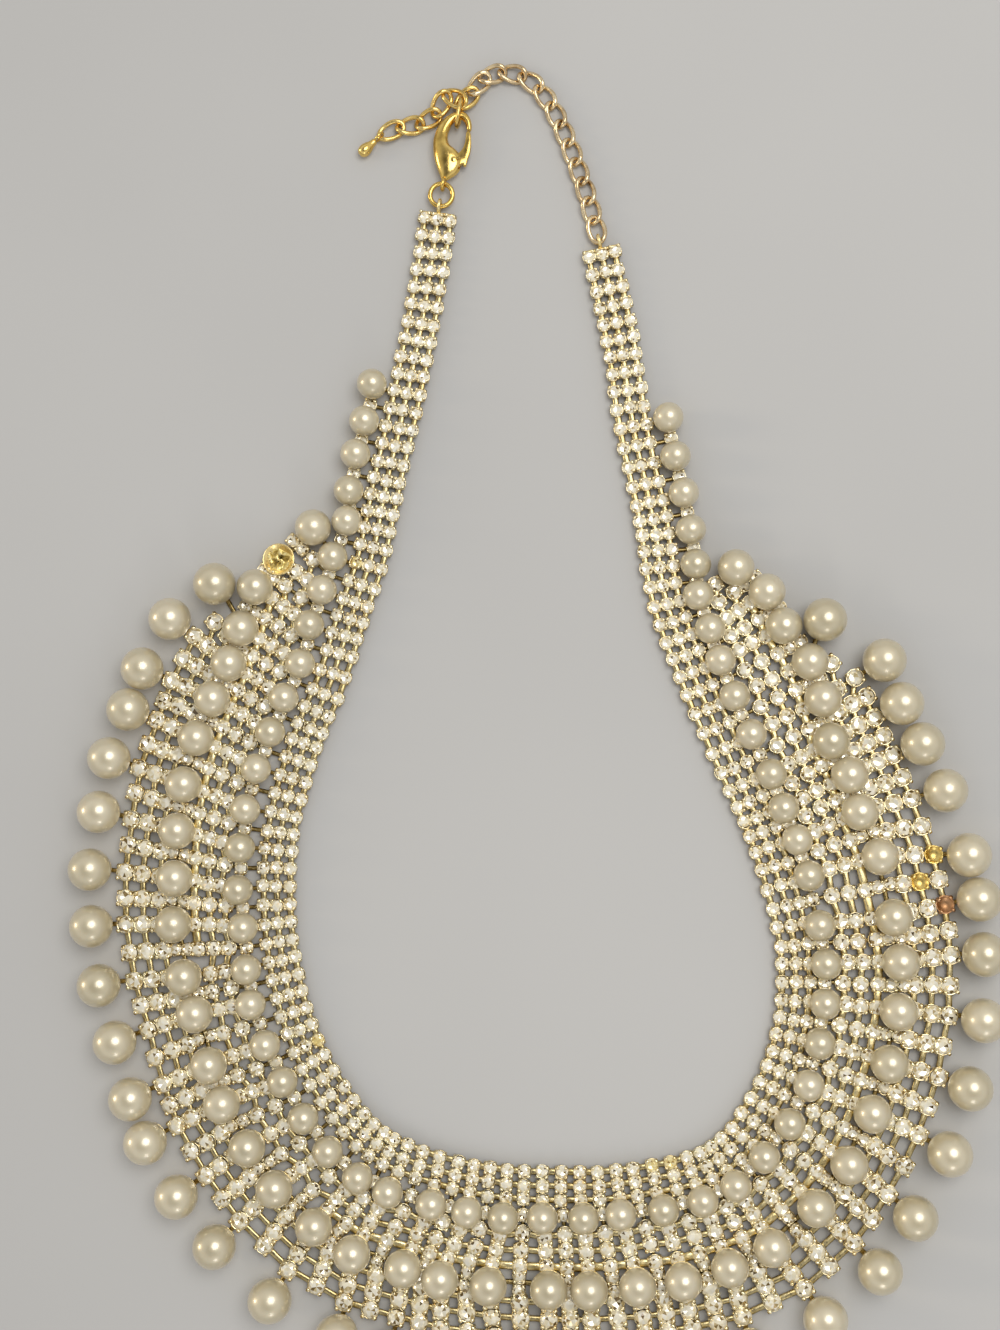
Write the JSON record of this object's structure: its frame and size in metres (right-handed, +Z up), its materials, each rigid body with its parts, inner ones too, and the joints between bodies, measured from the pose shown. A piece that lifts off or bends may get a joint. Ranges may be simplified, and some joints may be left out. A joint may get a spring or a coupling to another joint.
{
  "type": "bib necklace",
  "caption": "Bib necklace lying flat: tiers of round pearls in a rhinestone cup-chain mesh, two straps, a lobster clasp and an extender chain.",
  "frame": {"origin": "middle of the outline on the surface that the necklace lies on", "axes": "+Y from the bib towards the clasp, +X to the right with the stones facing up, +Z up"},
  "size_m": [0.151, 0.2175, 0.0076],
  "materials": {
    "stone_mesh": "pale gold cups set with clear faceted stones",
    "pearl": "pearlescent cream",
    "gold": "polished gold plate",
    "chain_gold": "gold plate, slightly worn"
  },
  "bodies": {
    "necklace": {"rhinestone_mesh": "stone_mesh", "pearls_tier1_left": "pearl", "pearls_tier1_bottom": "pearl", "pearls_tier1_right": "pearl", "pearl_tier2_first": "pearl", "pearls_tier2_left": "pearl", "pearls_tier2_bottom": "pearl", "pearls_tier2_right": "pearl", "pearls_tier3_left": "pearl", "pearls_tier3_bottom": "pearl", "pearls_tier3_right": "pearl", "jump_ring": "gold", "clasp_body": "gold", "end_drop": "gold", "chain_link_01": "chain_gold", "chain_link_02": "chain_gold", "chain_link_03": "chain_gold", "chain_link_04": "chain_gold", "chain_link_05": "chain_gold", "chain_link_06": "chain_gold", "chain_link_07": "chain_gold", "chain_link_08": "chain_gold", "chain_link_09": "chain_gold", "chain_link_10": "chain_gold", "chain_link_11": "chain_gold", "chain_link_12": "chain_gold", "chain_link_13": "chain_gold", "chain_link_14": "chain_gold", "chain_link_15": "chain_gold", "chain_link_16": "chain_gold", "chain_link_17": "chain_gold", "chain_link_18": "chain_gold", "chain_link_19": "chain_gold"},
    "lever": {"clasp_lever": "gold"}
  },
  "joints": [
    {"name": "clasp_lever_hinge", "type": "hinge", "parent": "necklace", "child": "lever", "pos_m": [-0.01212, 0.0922, 0.0016], "axis": [0, 0, 1], "range_deg": [0, 22], "stiffness_Nm_per_rad": 0.002, "springref_deg": -17.19}
  ]
}
